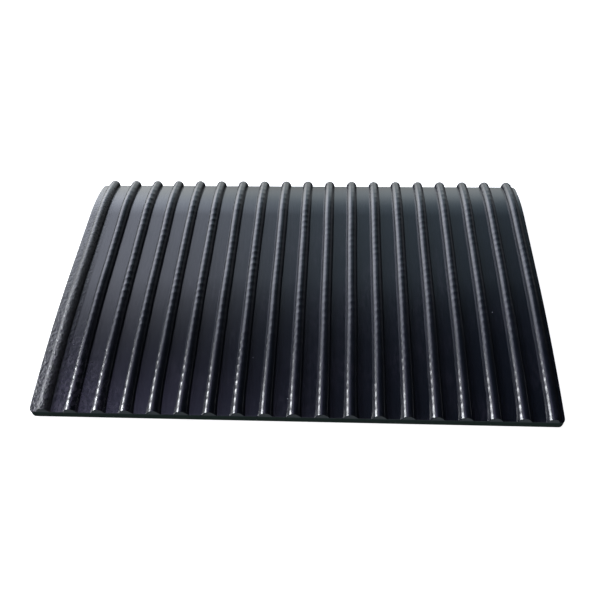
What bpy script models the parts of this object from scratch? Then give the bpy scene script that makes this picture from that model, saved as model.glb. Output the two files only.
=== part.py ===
"""Seedling heat mat: a ribbed rubber cover over foam, foil and one long heating cord.

Each piece is drawn flat, with x across the ribs, s along them from the front end, and h up from the
underside. roll_up() then cuts it at the mat's stations and bends it to the curve that the mat has taken.
Lengths are in metres. The origin is below the middle of the mat, on the surface that it lies on.
"""
import math

import bmesh
import bpy
from mathutils import Vector

# The mat
WIDTH = 0.508
LENGTH = 0.338               # along the underside, front end to back end
SHEET = 0.0095               # underside to the flat top between ribs
CORNER_RADIUS = 0.005

# Its curve: the front rises to the flat middle, and the back curls down by as much
ARCH_RISE = 0.012
FRONT_ROLL = 0.170
BACK_ROLL = 0.066
FRONT_STEPS = 4
BACK_STEPS = 4

# The ribs
RIB_COUNT = 19
LEFT_MARGIN = 0.0142         # left edge to the first rib's centre
RIGHT_MARGIN = 0.0105        # last rib's centre to the right edge
RIB_WIDTH = 0.0112
RIB_HEIGHT = 0.0066
RIB_STEPS = 6
PITCH = (WIDTH - LEFT_MARGIN - RIGHT_MARGIN) / (RIB_COUNT - 1)

# The ribbed cover's walls, and the layers inside it
GAP = 0.0003
RIM = 0.006
END_WALL = 0.008
CEILING = 0.0074
BASE = 0.0016
FOAM_TOP = 0.0066
FOIL = 0.00015
FOIL_INSET = 0.002

# The heating cord
CORD_RADIUS = 0.0019
CORD_CORE = 0.0006
CORD_HIGH = CEILING + GAP + CORD_RADIUS      # centre height under a rib
CORD_LOW = 0.0046                            # centre height in the turns and at the leads
GROOVE_RADIUS = 0.0024
GROOVE_STEPS = 4
TURN = 0.030                 # end of the mat to the start of a turn
DIVE = 0.044                 # end of the mat to where a run has risen under its rib
DIVE_STEPS = 3
TURN_STEPS = 5
STRIPPED = 0.005             # bare core at each end of the cord and of a lead
JOINT_RADIUS = 0.0013        # crimp at an end of the cord
JOINT_OVERLAP = 0.0015       # sleeve past the bare core, over the cord and over the lead
SLEEVE_BORE = CORD_RADIUS + 0.0004
SLEEVE_RADIUS = 0.0026

# The service pocket at the back left, where the foam stops
POCKET_RIGHT = -0.150
POCKET_FRONT = 0.205
FOAM_SIDE = 0.238
FOAM_END = 0.050

# The supply cord's inlet, and the box behind it
INNER_H = 0.0045             # centre height of the gland, crimps, leads and cut-out
INLET_S = 0.2455
GLAND_HALF = (0.0062, 0.0027)
GLAND_CORNER = 0.0022
FLANGE_HALF = (0.0082, 0.0027)
FLANGE = 0.002
BORE_HALF = (0.0037, 0.0018)
BORE_CORNER = 0.0016
BOX_LEFT = -0.2449
BOX_RIGHT = -0.205
BOX_HALF = 0.016
BOX_WALL = 0.0012
BOX_FLOOR = 0.001
BOX_TOP = 0.006
CORD_SLOT_BOTTOM = 0.0031
LID = 0.0008
CRIMP_S = {"neutral_crimp": -0.009, "line_crimp": 0.0, "earth_crimp": 0.009}   # from INLET_S
CRIMP_LEFT = -0.228
CRIMP_RIGHT = -0.217
CRIMP_BORE = 0.00075
CRIMP_RADIUS = 0.00125
LEAD_RADIUS = 0.0009
LEAD_CORE = 0.00045
LEAD_SIDES = 6

# The thermal cut-out and the earth connection
CUTOUT_X = -0.178
CUTOUT_HALF = (0.009, 0.0035, 0.0016)
CUTOUT_CORNER = 0.0008
FILM_PAST_END = 0.003
EYELET = (-0.192, 0.264)
EYELET_BORE = 0.0009
EYELET_SHANK = 0.0015
EYELET_HOLE = 0.0018
EYELET_HEAD = 0.0028
EYELET_FOOT = (0.0053, 0.0057)
RING_RADIUS = 0.0036
RING_BOTTOM = 0.0060
RING_TOP = 0.0066

REACH = 0.002                # how far a cutter stands past what it cuts
TINY = 1e-6


def roll_angle(length):
    """Angle of an arc of this length whose two ends differ in height by ARCH_RISE."""
    angle = 2 * ARCH_RISE / length
    for _ in range(20):
        rise = length * (1 - math.cos(angle)) / angle
        angle *= ARCH_RISE / rise
    return angle


def mat_stations():
    """Points of the curved underside as (s, y, z, slope), from the front end to the back end."""
    front = roll_angle(FRONT_ROLL)
    back = roll_angle(BACK_ROLL)
    front_radius = FRONT_ROLL / front
    back_radius = BACK_ROLL / back
    points = []
    for step in range(FRONT_STEPS + 1):
        share = step / FRONT_STEPS
        slope = front * (1 - share)
        y = front_radius * (math.sin(front) - math.sin(slope))
        z = front_radius * (math.cos(slope) - math.cos(front))
        points.append((FRONT_ROLL * share, y, z, slope))
    curl_start = points[-1][1] + LENGTH - FRONT_ROLL - BACK_ROLL
    for step in range(BACK_STEPS + 1):
        share = step / BACK_STEPS
        slope = -back * share
        y = curl_start - back_radius * math.sin(slope)
        z = ARCH_RISE - back_radius * (1 - math.cos(slope))
        points.append((LENGTH - BACK_ROLL * (1 - share), y, z, slope))
    return points


STATIONS = mat_stations()


def bend(point):
    """Place a flat point (x, s, h) on the curved mat, straight between one station and the next."""
    x, s, h = point
    low, high = STATIONS[0], STATIONS[1]
    for before, after in zip(STATIONS, STATIONS[1:]):
        if s > before[0]:
            low, high = before, after
    share = (s - low[0]) / (high[0] - low[0])
    y_low, z_low = low[1] - h * math.sin(low[3]), low[2] + h * math.cos(low[3])
    y_high, z_high = high[1] - h * math.sin(high[3]), high[2] + h * math.cos(high[3])
    return Vector((x, y_low + share * (y_high - y_low), z_low + share * (z_high - z_low)))


def roll_up(bm):
    """Cut a flat piece at each station that it crosses, and bend it."""
    for s, _, _, _ in STATIONS[1:-1]:
        geometry = bm.verts[:] + bm.edges[:] + bm.faces[:]
        bmesh.ops.bisect_plane(bm, geom=geometry, dist=1e-5, plane_co=(0, s, 0), plane_no=(0, 1, 0))
    for vert in bm.verts:
        vert.co = bend(vert.co)


# ---------------------------------------------------------------- solids

def loft(rings, hollow=False):
    """Closed solid through rings of points: capped, or hollow with its last ring joined to its first."""
    bm = bmesh.new()
    loops = [[bm.verts.new(point) for point in ring] for ring in rings]
    pairs = list(zip(loops, loops[1:]))
    if hollow:
        pairs.append((loops[-1], loops[0]))
    else:
        bm.faces.new(loops[0])
        bm.faces.new(loops[-1])
    for one, other in pairs:
        for index in range(len(one)):
            following = (index + 1) % len(one)
            bm.faces.new((one[index], one[following], other[following], other[index]))
    bmesh.ops.recalc_face_normals(bm, faces=bm.faces)
    return bm


def lift(outline, axis, level):
    """Points of an outline in two axes, at a level of the third axis."""
    points = []
    for first, second in outline:
        point = [first, second]
        point.insert(axis, level)
        points.append(point)
    return points


def prism(outline, axis, low, high):
    """An outline carried along an axis from low to high."""
    return loft([lift(outline, axis, low), lift(outline, axis, high)])


def box(low, high):
    """A block from its lowest corner to its highest."""
    outline = [(low[0], low[1]), (high[0], low[1]), (high[0], high[1]), (low[0], high[1])]
    return prism(outline, 2, low[2], high[2])


def circle(radius, sides):
    """A round outline about zero."""
    turn = 2 * math.pi / sides
    return [(radius * math.cos(turn * side), radius * math.sin(turn * side)) for side in range(sides)]


def rounded(half_a, half_b, corner, steps=2):
    """A rectangular outline about zero with round corners."""
    outline = []
    for quarter, (sign_a, sign_b) in enumerate(((1, 1), (-1, 1), (-1, -1), (1, -1))):
        for step in range(steps + 1):
            angle = math.pi / 2 * (quarter + step / steps)
            a = sign_a * (half_a - corner) + corner * math.cos(angle)
            b = sign_b * (half_b - corner) + corner * math.sin(angle)
            outline.append((a, b))
    return outline


def sleeve(axis, centre, profile):
    """A hollow piece along an axis: profile lists (offset, outline), outside first and then back inside."""
    others = [index for index in range(3) if index != axis]
    rings = []
    for offset, outline in profile:
        moved = [(a + centre[others[0]], b + centre[others[1]]) for a, b in outline]
        rings.append(lift(moved, axis, centre[axis] + offset))
    return loft(rings, hollow=True)


def barrel(axis, centre, half_length, radius, bore, sides=8):
    """A plain round sleeve."""
    outer = circle(radius, sides)
    inner = circle(bore, sides)
    ends = ((-half_length, outer), (half_length, outer), (half_length, inner), (-half_length, inner))
    return sleeve(axis, centre, ends)


def direction(points, index):
    """Direction of a path at one of its points, skipping points at the same place."""
    here = points[index]
    before = next((p for p in reversed(points[:index]) if (p - here).length > TINY), here)
    after = next((p for p in points[index + 1:] if (p - here).length > TINY), here)
    return (after - before).normalized()


def tube(path, sides=LEAD_SIDES):
    """A round solid along a path of (point, radius) that never runs straight up."""
    points = [Vector(point) for point, _ in path]
    rings = []
    for index, (_, radius) in enumerate(path):
        along = direction(points, index)
        across = along.cross(Vector((0, 0, 1))).normalized()
        upward = across.cross(along)
        rings.append([points[index] + across * a + upward * b for a, b in circle(radius, sides)])
    return loft(rings)


def smooth(points, samples=3):
    """A smooth curve through a route's points, with this many samples to each stretch."""
    route = [2 * points[0] - points[1]] + points + [2 * points[-1] - points[-2]]
    curve = []
    for a, b, c, d in zip(route, route[1:], route[2:], route[3:]):
        for sample in range(samples):
            t = sample / samples
            curve.append(0.5 * (2 * b + (c - a) * t + (2 * a - 5 * b + 4 * c - d) * t ** 2
                                + (3 * b - a - 3 * c + d) * t ** 3))
    curve.append(route[-2])
    return curve


# ---------------------------------------------------------------- objects

def make_material(name, colour, roughness, metallic):
    """A plain Principled material."""
    material = bpy.data.materials.new(name)
    material.use_nodes = True
    shader = material.node_tree.nodes["Principled BSDF"]
    shader.inputs["Base Color"].default_value = (*colour, 1)
    shader.inputs["Roughness"].default_value = roughness
    shader.inputs["Metallic"].default_value = metallic
    return material


def add_object(name, bm):
    """Bend a flat solid and make it an object of the mat."""
    roll_up(bm)
    mesh = bpy.data.meshes.new(name)
    bm.to_mesh(mesh)
    bm.free()
    thing = bpy.data.objects.new(name, mesh)
    bpy.context.scene.collection.objects.link(thing)
    thing.parent = MAT
    return thing


def add_piece(name, bm, colour, roughness=0.6, metallic=0.0, round_piece=False):
    """A sub-part with its own material."""
    piece = add_object(name, bm)
    piece.data.materials.append(make_material(name, colour, roughness, metallic))
    if round_piece:
        piece.data.shade_smooth()
        piece.data.set_sharp_from_angle(angle=math.radians(50))
    return piece


def cut(piece, name, bm):
    """Take a flat shape away from a piece."""
    cutter = add_object(name, bm)
    cutter.hide_render = True
    cutter.display_type = "WIRE"
    modifier = piece.modifiers.new(name, "BOOLEAN")
    modifier.operation = "DIFFERENCE"
    modifier.solver = "EXACT"
    modifier.object = cutter


# ---------------------------------------------------------------- covers

def rib_centres():
    """Each rib's x, from left to right."""
    first = LEFT_MARGIN - WIDTH / 2
    return [first + PITCH * index for index in range(RIB_COUNT)]


def half_round(x, base, half_width, height, steps):
    """Points over half an ellipse, from left to right."""
    points = []
    for step in range(steps + 1):
        angle = math.pi * (1 - step / steps)
        points.append((x + half_width * math.cos(angle), base + height * math.sin(angle)))
    return points


def ribbed_block():
    """The cover's outside: a slab with a half round for each rib."""
    outline = [(-WIDTH / 2, 0), (-WIDTH / 2, SHEET)]
    for x in rib_centres():
        outline += half_round(x, SHEET, RIB_WIDTH / 2, RIB_HEIGHT, RIB_STEPS)
    outline += [(WIDTH / 2, SHEET), (WIDTH / 2, 0)]
    return prism(outline, 1, 0, LENGTH)


def cavity():
    """The cover's inside, open at the bottom, with a groove for the cord under each rib."""
    side = WIDTH / 2 - RIM
    outline = [(-side, -REACH), (-side, CEILING)]
    for x in rib_centres():
        outline.append((x - GROOVE_RADIUS, CEILING))
        outline += half_round(x, CORD_HIGH, GROOVE_RADIUS, GROOVE_RADIUS, GROOVE_STEPS)
        outline.append((x + GROOVE_RADIUS, CEILING))
    outline += [(side, CEILING), (side, -REACH)]
    return prism(outline, 1, END_WALL, LENGTH - END_WALL)


def plan_corner(side, end):
    """What a rounded corner takes off, on the left or right (-1 or 1) and at the front or back (-1 or 1)."""
    edge = WIDTH / 2
    outline = [(edge - CORNER_RADIUS, REACH)]
    for step in range(4):
        angle = math.pi / 2 * (1 - step / 3)
        across = edge - CORNER_RADIUS * (1 - math.cos(angle))
        outline.append((across, CORNER_RADIUS * (math.sin(angle) - 1)))
    outline += [(edge + REACH, -CORNER_RADIUS), (edge + REACH, REACH)]
    end_s = LENGTH if end > 0 else 0
    placed = [(side * a, end_s + end * b) for a, b in outline]
    return prism(placed, 2, -REACH, SHEET + REACH)


def make_ribbed_cover():
    """Black rubber top with its side and end walls."""
    cover = add_piece("ribbed_cover", ribbed_block(), (0.012, 0.012, 0.016), 0.35)
    cut(cover, "cavity_cutter", cavity())
    for side in (-1, 1):
        for end in (-1, 1):
            cut(cover, "corner_cutter", plan_corner(side, end))
    hole = [(a + INLET_S, b + INNER_H)
            for a, b in rounded(GLAND_HALF[0] + GAP, GLAND_HALF[1] + GAP, GLAND_CORNER + GAP)]
    cut(cover, "inlet_cutter", prism(hole, 0, -WIDTH / 2 - REACH, -WIDTH / 2 + RIM + REACH))
    recess = [(a + EYELET[0], b + EYELET[1]) for a, b in circle(EYELET_HEAD + 2 * GAP, 10)]
    cut(cover, "eyelet_recess_cutter", prism(recess, 2, CEILING - 2 * GAP, CEILING + 2 * GAP))


def make_base_cover():
    """Flat rubber sheet that closes the underside."""
    side = WIDTH / 2 - RIM - GAP
    front = END_WALL + GAP
    sheet = box((-side, front, 0), (side, LENGTH - front, BASE))
    add_piece("base_cover", sheet, (0.015, 0.015, 0.018), 0.7)


# ---------------------------------------------------------------- layers

def notched(side, front, notch_x, notch_s):
    """A rectangular outline with its back left corner left out."""
    back = LENGTH - front
    return [(-side, front), (side, front), (side, back), (notch_x, back), (notch_x, notch_s),
            (-side, notch_s)]


def make_insulation_core():
    """Closed-cell foam under the foil."""
    outline = notched(FOAM_SIDE, FOAM_END, POCKET_RIGHT, POCKET_FRONT)
    foam = prism(outline, 2, BASE + GAP, FOAM_TOP)
    add_piece("insulation_core", foam, (0.55, 0.56, 0.58), 0.9)


def make_heat_spreader():
    """Aluminium foil on the foam, round the junction box and with the eyelet's hole."""
    outline = notched(FOAM_SIDE - FOIL_INSET, FOAM_END + FOIL_INSET, BOX_RIGHT + FOIL_INSET,
                      INLET_S - BOX_HALF - 2 * FOIL_INSET)
    foil_bottom = FOAM_TOP + GAP
    foil = add_piece("heat_spreader_foil", prism(outline, 2, foil_bottom, foil_bottom + FOIL),
                     (0.8, 0.81, 0.82), 0.3, 1.0)
    hole = [(a + EYELET[0], b + EYELET[1]) for a, b in circle(EYELET_HOLE, 10)]
    cut(foil, "foil_hole_cutter", prism(hole, 2, foil_bottom - REACH, foil_bottom + REACH))


# ---------------------------------------------------------------- heating cord

def cord_run(x):
    """One run under a rib, from its front turn to its back turn."""
    rise = []
    for step in range(DIVE_STEPS + 1):
        share = step / DIVE_STEPS
        lift_share = (1 - math.cos(math.pi * share)) / 2
        rise.append((TURN + (DIVE - TURN) * share, CORD_LOW + (CORD_HIGH - CORD_LOW) * lift_share))
    front = [(x, s, h) for s, h in rise]
    back = [(x, LENGTH - s, h) for s, h in reversed(rise)]
    return front + back


def cord_turn(x, at_front):
    """Half circle from the rib left of x to the rib right of it."""
    points = []
    for step in range(1, TURN_STEPS):
        angle = math.pi * (1 - step / TURN_STEPS)
        reach = TURN - PITCH / 2 * math.sin(angle)
        s = reach if at_front else LENGTH - reach
        points.append((x + PITCH / 2 * math.cos(angle), s, CORD_LOW))
    return points


def make_heating_cord():
    """One cord up and down under all the ribs, with a bare core at each end."""
    centre = []
    for index, x in enumerate(rib_centres()):
        to_front = index % 2 == 0
        run = cord_run(x)
        if to_front:
            run.reverse()
        centre += run
        if index < RIB_COUNT - 1:
            centre += cord_turn(x + PITCH / 2, to_front)
    path = [(point, CORD_RADIUS) for point in centre]
    first, last = centre[0], centre[-1]
    start = [((first[0], first[1] + STRIPPED, first[2]), CORD_CORE), (first, CORD_CORE)]
    finish = [(last, CORD_CORE), ((last[0], last[1] - STRIPPED, last[2]), CORD_CORE)]
    add_piece("heating_cord", tube(start + path + finish), (0.62, 0.60, 0.55), 0.5, round_piece=True)


# ---------------------------------------------------------------- leads and joints

def lead(name, route, colour):
    """A thin insulated wire through a route of (x, s), with a bare core past each end."""
    route = [Vector((x, s, INNER_H)) for x, s in route]
    start = route[0] + (route[0] - route[1]).normalized() * STRIPPED
    finish = route[-1] + (route[-1] - route[-2]).normalized() * STRIPPED
    path = [(start, LEAD_CORE), (route[0], LEAD_CORE)]
    path += [(point, LEAD_RADIUS) for point in smooth(route)]
    path += [(route[-1], LEAD_CORE), (finish, LEAD_CORE)]
    add_piece(name, tube(path), colour, 0.5, round_piece=True)


def cord_joint(name, x, mouth, outward):
    """Crimp and shrink sleeve over a bare end of the heating cord; outward is -1 or 1 along s."""
    middle = (x, mouth + outward * (STRIPPED + 2 * GAP), CORD_LOW)
    crimp = barrel(1, middle, STRIPPED - GAP, JOINT_RADIUS, CORD_CORE + GAP)
    add_piece(name + "_crimp", crimp, (0.75, 0.74, 0.70), 0.3, 1.0, round_piece=True)
    shrink = barrel(1, middle, STRIPPED + JOINT_OVERLAP, SLEEVE_RADIUS, SLEEVE_BORE, sides=10)
    add_piece(name + "_sleeve", shrink, (0.02, 0.02, 0.02), 0.45, round_piece=True)


def make_cord_joints():
    """The joints at the cord's start, back left, and at its end, front right."""
    ribs = rib_centres()
    cord_joint("cord_start", ribs[0], LENGTH - TURN, 1)
    cord_joint("cord_end", ribs[-1], TURN, -1)


def make_leads():
    """The four wires between the junction box, the cut-out, the foil and the cord's two ends."""
    start_x, end_x = rib_centres()[0], rib_centres()[-1]
    rows = {name: INLET_S + offset for name, offset in CRIMP_S.items()}
    crimp_end = CRIMP_RIGHT + 0.001
    box_outside = BOX_RIGHT + 0.0005
    cutout_reach = CUTOUT_HALF[0] + GAP + STRIPPED
    from_joint = 2 * (STRIPPED + 2 * GAP)        # mouth of a cord joint to its lead's insulation
    back = LENGTH - TURN + from_joint
    front = TURN - from_joint

    line_route = [(crimp_end, rows["line_crimp"]), (box_outside, rows["line_crimp"]),
                  (CUTOUT_X - cutout_reach, rows["line_crimp"])]
    lead("line_lead", line_route, (0.25, 0.10, 0.04))

    cutout_route = [(CUTOUT_X + cutout_reach, INLET_S), (-0.1615, INLET_S), (-0.1575, 0.2485),
                    (-0.1565, 0.257), (-0.163, 0.267), (-0.180, 0.275), (-0.205, 0.280), (-0.221, 0.289),
                    (-0.2265, 0.304), (start_x + 0.0120, back), (start_x + 0.0085, back + 0.0068),
                    (start_x + 0.0038, back + 0.0070), (start_x, back + 0.0025), (start_x, back)]
    lead("cutout_lead", cutout_route, (0.25, 0.10, 0.04))

    earth_route = [(crimp_end, rows["earth_crimp"]), (box_outside, rows["earth_crimp"]), (-0.2005, 0.2558),
                   (-0.1965, 0.2590)]
    lead("earth_lead", earth_route, (0.10, 0.35, 0.08))

    under_ribs = 0.047
    left_edge = -0.2437
    neutral_route = [(end_x, front), (end_x, front - 0.0025), (end_x - 0.0026, front - 0.0070),
                     (end_x - 0.0072, front - 0.0066), (end_x - 0.0105, 0.0190), (end_x - 0.0125, 0.033),
                     (0.2190, 0.0455), (0.2000, under_ribs), (0.1000, under_ribs), (0.0, under_ribs),
                     (-0.1000, under_ribs), (-0.2200, under_ribs), (-0.2380, 0.049), (-0.2435, 0.060),
                     (left_edge, 0.090), (left_edge, 0.135), (left_edge, 0.195), (-0.2405, 0.211),
                     (-0.2250, 0.2195), (-0.2050, 0.2215), (-0.1955, 0.2255), (-0.1945, 0.2325),
                     (-0.1990, 0.2363), (box_outside, rows["neutral_crimp"]),
                     (crimp_end, rows["neutral_crimp"])]
    lead("neutral_lead", neutral_route, (0.05, 0.12, 0.35))


def make_crimps():
    """The barrels for the supply cord's three conductors."""
    middle = (CRIMP_LEFT + CRIMP_RIGHT) / 2
    for name, offset in CRIMP_S.items():
        centre = (middle, INLET_S + offset, INNER_H)
        crimp = barrel(0, centre, (CRIMP_RIGHT - CRIMP_LEFT) / 2, CRIMP_RADIUS, CRIMP_BORE)
        add_piece(name, crimp, (0.75, 0.74, 0.70), 0.3, 1.0, round_piece=True)


def make_cutout():
    """Flat bimetal capsule in a film sleeve."""
    centre = (CUTOUT_X, INLET_S, INNER_H)
    half_x, half_s, half_h = CUTOUT_HALF
    section = [(a + INLET_S, b + INNER_H) for a, b in rounded(half_s, half_h, CUTOUT_CORNER)]
    capsule = prism(section, 0, CUTOUT_X - half_x, CUTOUT_X + half_x)
    add_piece("thermal_cutout", capsule, (0.7, 0.7, 0.68), 0.35, 1.0)
    inner = rounded(half_s + GAP, half_h + GAP, CUTOUT_CORNER + GAP)
    outer = rounded(half_s + 2 * GAP, half_h + 2 * GAP, CUTOUT_CORNER + 2 * GAP)
    reach = half_x + FILM_PAST_END
    film = sleeve(0, centre, ((-reach, outer), (reach, outer), (reach, inner), (-reach, inner)))
    add_piece("cutout_sleeve", film, (0.75, 0.55, 0.20), 0.3)


def make_earth_connection():
    """Ring tongue under the foil, and the eyelet that holds it."""
    x, s = EYELET
    ring = [(a + x, b + s) for a, b in circle(RING_RADIUS, 12)]
    tongue = add_piece("earth_ring_terminal", prism(ring, 2, RING_BOTTOM, RING_TOP),
                       (0.75, 0.74, 0.70), 0.3, 1.0)
    hole = [(a + x, b + s) for a, b in circle(EYELET_HOLE, 10)]
    cut(tongue, "ring_hole_cutter", prism(hole, 2, RING_BOTTOM - REACH, RING_TOP + REACH))
    head_bottom = FOAM_TOP + GAP + FOIL + GAP / 3
    sides = 10
    shank = circle(EYELET_SHANK, sides)
    flange = circle(EYELET_HEAD, sides)
    bore = circle(EYELET_BORE, sides)
    foot_bottom, foot_top = EYELET_FOOT
    levels = ((foot_bottom, bore), (foot_bottom, flange), (foot_top, flange), (foot_top, shank),
              (head_bottom, shank), (head_bottom, flange), (CEILING + GAP, flange), (CEILING + GAP, bore))
    eyelet = sleeve(2, (x, s, 0), levels)
    add_piece("earth_eyelet", eyelet, (0.70, 0.52, 0.22), 0.3, 1.0, round_piece=True)


# ---------------------------------------------------------------- inlet and junction box

def make_cord_gland():
    """Bush in the left wall, flush outside and with a flange inside, for a flat supply cord."""
    wall_outside = -WIDTH / 2
    body = rounded(*GLAND_HALF, GLAND_CORNER)
    flange = rounded(*FLANGE_HALF, GLAND_CORNER)
    bore = rounded(*BORE_HALF, BORE_CORNER)
    flange_start = RIM + GAP
    flange_end = flange_start + FLANGE
    profile = ((0, body), (flange_start, body), (flange_start, flange), (flange_end, flange),
               (flange_end, bore), (0, bore))
    gland = sleeve(0, (wall_outside, INLET_S, INNER_H), profile)
    add_piece("cord_gland", gland, (0.014, 0.014, 0.016), 0.5)


def make_junction_box():
    """Flat tray and lid round the three crimps."""
    front, back = INLET_S - BOX_HALF, INLET_S + BOX_HALF
    bottom = BASE + GAP
    tray = add_piece("junction_housing", box((BOX_LEFT, front, bottom), (BOX_RIGHT, back, BOX_TOP)),
                     (0.05, 0.05, 0.055), 0.5)
    inside = box((BOX_LEFT + BOX_WALL, front + BOX_WALL, bottom + BOX_FLOOR),
                 (BOX_RIGHT - BOX_WALL, back - BOX_WALL, BOX_TOP + REACH))
    cut(tray, "box_inside_cutter", inside)
    for offset in CRIMP_S.values():
        half = LEAD_RADIUS + GAP
        notch = box((BOX_RIGHT - BOX_WALL - GAP, INLET_S + offset - half, INNER_H - half),
                    (BOX_RIGHT + REACH, INLET_S + offset + half, BOX_TOP + REACH))
        cut(tray, "lead_notch_cutter", notch)
    slot = box((BOX_LEFT - REACH, INLET_S - BORE_HALF[0], CORD_SLOT_BOTTOM),
               (BOX_LEFT + BOX_WALL + GAP, INLET_S + BORE_HALF[0], BOX_TOP + REACH))
    cut(tray, "cord_slot_cutter", slot)
    lid_bottom = BOX_TOP + GAP
    lid = box((BOX_LEFT, front, lid_bottom), (BOX_RIGHT, back, lid_bottom + LID))
    add_piece("junction_lid", lid, (0.05, 0.05, 0.055), 0.5)


def middle_shift():
    """How far the mat moves along y for its middle to be at zero."""
    crest = SHEET + RIB_HEIGHT
    lowest = bend((0, 0, crest)).y
    highest = bend((0, LENGTH, crest)).y
    return -(lowest + highest) / 2


for old in list(bpy.data.objects):
    bpy.data.objects.remove(old)

MAT = bpy.data.objects.new("mat", None)
MAT.location = (0, middle_shift(), 0)
bpy.context.scene.collection.objects.link(MAT)

make_ribbed_cover()
make_base_cover()
make_insulation_core()
make_heat_spreader()
make_heating_cord()
make_cord_joints()
make_crimps()
make_leads()
make_cutout()
make_earth_connection()
make_cord_gland()
make_junction_box()
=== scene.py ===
"""Looks for the ribbed seedling heat mat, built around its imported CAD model.

Each piece is drawn flat, with x across the ribs, s along them from the front end, and h up from the
underside. bend() then lays it on the curve that the mat has taken. Lengths are in metres.
"""
import math

import bmesh
import bpy
import numpy as np
from mathutils import Matrix, Vector


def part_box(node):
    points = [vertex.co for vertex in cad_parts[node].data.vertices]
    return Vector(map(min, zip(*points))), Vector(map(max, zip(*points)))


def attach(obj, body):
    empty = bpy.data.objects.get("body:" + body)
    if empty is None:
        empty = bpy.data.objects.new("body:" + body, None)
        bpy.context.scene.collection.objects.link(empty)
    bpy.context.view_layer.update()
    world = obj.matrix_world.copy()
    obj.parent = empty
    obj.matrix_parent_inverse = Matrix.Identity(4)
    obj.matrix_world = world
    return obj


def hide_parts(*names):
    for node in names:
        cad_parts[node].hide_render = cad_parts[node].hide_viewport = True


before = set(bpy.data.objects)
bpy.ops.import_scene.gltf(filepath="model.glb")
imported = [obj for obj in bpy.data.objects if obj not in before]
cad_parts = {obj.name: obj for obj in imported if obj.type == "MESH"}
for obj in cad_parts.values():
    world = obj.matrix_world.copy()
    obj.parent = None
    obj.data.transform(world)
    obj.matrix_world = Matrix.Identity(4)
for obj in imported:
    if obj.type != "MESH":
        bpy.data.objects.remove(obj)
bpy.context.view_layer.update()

# The mat's driving sizes, as the CAD has them
COVER_LOW, COVER_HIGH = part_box("ribbed_cover")
WIDTH = COVER_HIGH.x - COVER_LOW.x
LENGTH = 0.338  # along the curve
SHEET = 0.0095
CORNER_RADIUS = 0.005  # in plan
ARCH_RISE = 0.012
FRONT_ROLL = 0.170  # length of the arc that lifts the front end
BACK_ROLL = 0.066
RIB_COUNT = 19
LEFT_MARGIN = 0.0142  # from the edge to the first rib's middle
RIGHT_MARGIN = 0.0105
RIB_HEIGHT = 0.0066
PITCH = (WIDTH - LEFT_MARGIN - RIGHT_MARGIN) / (RIB_COUNT - 1)
GAP = 0.0003  # room between neighbouring pieces
RIM = 0.006  # thickness of the cover's side walls
END_WALL = 0.008
CEILING = 0.0074  # height of the cover's inside
BASE = 0.0016
CORD_RADIUS = 0.0019
CORD_CORE = 0.0006
CORD_HIGH = CEILING + GAP + CORD_RADIUS
CORD_LOW = 0.0046
GROOVE_RADIUS = 0.0024
TURN = 0.030  # how far from the ends the cord's half turns start
DIVE = 0.044  # how far from the ends the cord is up in its groove
STRIPPED = 0.005  # bare length at each end of a cord or lead
JOINT_OVERLAP = 0.0015
INLET_S = 0.2455
INNER_H = 0.0045  # height of the leads and all that they join
GLAND_HALF = (0.0062, 0.0027)
GLAND_CORNER = 0.0022
EYELET = (-0.192, 0.264)
EYELET_HEAD = 0.0028
FOAM_TOP = 0.0066
FOAM_SIDE = 0.238
FOAM_END = 0.050
POCKET_RIGHT = -0.150  # the foam's pocket for the junction box and the cut-out
POCKET_FRONT = 0.205
FOIL = 0.00015
FOIL_INSET = 0.002
BOX_LEFT = -0.2449
BOX_RIGHT = -0.205
BOX_HALF = 0.016
BOX_TOP = 0.006
CRIMP_SPACING = 0.009
CRIMP_LEFT = -0.228
CRIMP_RIGHT = -0.217
LEAD_RADIUS = 0.0009
LEAD_CORE = 0.00045
CUTOUT_X = -0.178
CUTOUT_HALF = (0.009, 0.0035, 0.0016)
REACH = 0.002  # how far a cutter goes past what it cuts

# The cover's fine shape
RIB_HALF = 0.0062  # the ribs' outside is a little fuller than the CAD's
FILLET = 0.0002  # concave, at the foot of each rib
FOOT_SPREAD = 0.20  # share by which the ribs' feet widen at the front end
FOOT_SPREAD_LENGTH = 0.012
EDGE = 0.0007  # round top edge of the sheet, and of the rib ends
FOOT_EDGE = 0.0004  # round bottom edge
RIB_STEPS = 10
ROW = 0.00127  # spacing of the cover's rows along the ribs
BEAD_PITCH = 0.0093  # one turn of the wound cord under the rubber
BEAD = 0.00004  # height of the wave that makes the beads, on a rib with a strength of 1
BEAD_POINT = 0.35  # share of a second, shorter wave that narrows a bead's crest
BEAD_SINK = 1.3  # puts the crests of the beads level with the rib
BEAD_TWIST = 1.1  # slant of the winding: radians of a bead's turn for each radian round the rib
BEAD_STRENGTH = (0.7, 1.3, 2.2, 1.8, 2.0, 2.2, 1.7, 2.2, 1.3, 1.9,  # of each rib, from the left
                 1.3, 1.4, 1.5, 1.6, 1.6, 1.7, 1.8, 1.9, 1.3)
CORD_STEP = 0.0016  # between the rings of a cord or lead
WINDING = 0.00006  # half depth of the heating cord's screw-like ridge
BENDS = 64  # straight stretches that stand for the curve in a piece cut by bent()


# ---------------- the mat's curve

def roll_angle(length):
    """Angle of an arc of this length whose two ends differ in height by ARCH_RISE."""
    angle = 2 * ARCH_RISE / length
    for _ in range(20):
        rise = length * (1 - math.cos(angle)) / angle
        angle *= ARCH_RISE / rise
    return angle


FRONT_ANGLE = roll_angle(FRONT_ROLL)
BACK_ANGLE = roll_angle(BACK_ROLL)
FRONT_Y = COVER_LOW.y + (SHEET + RIB_HEIGHT) * math.sin(FRONT_ANGLE)  # the underside's front end


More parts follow.
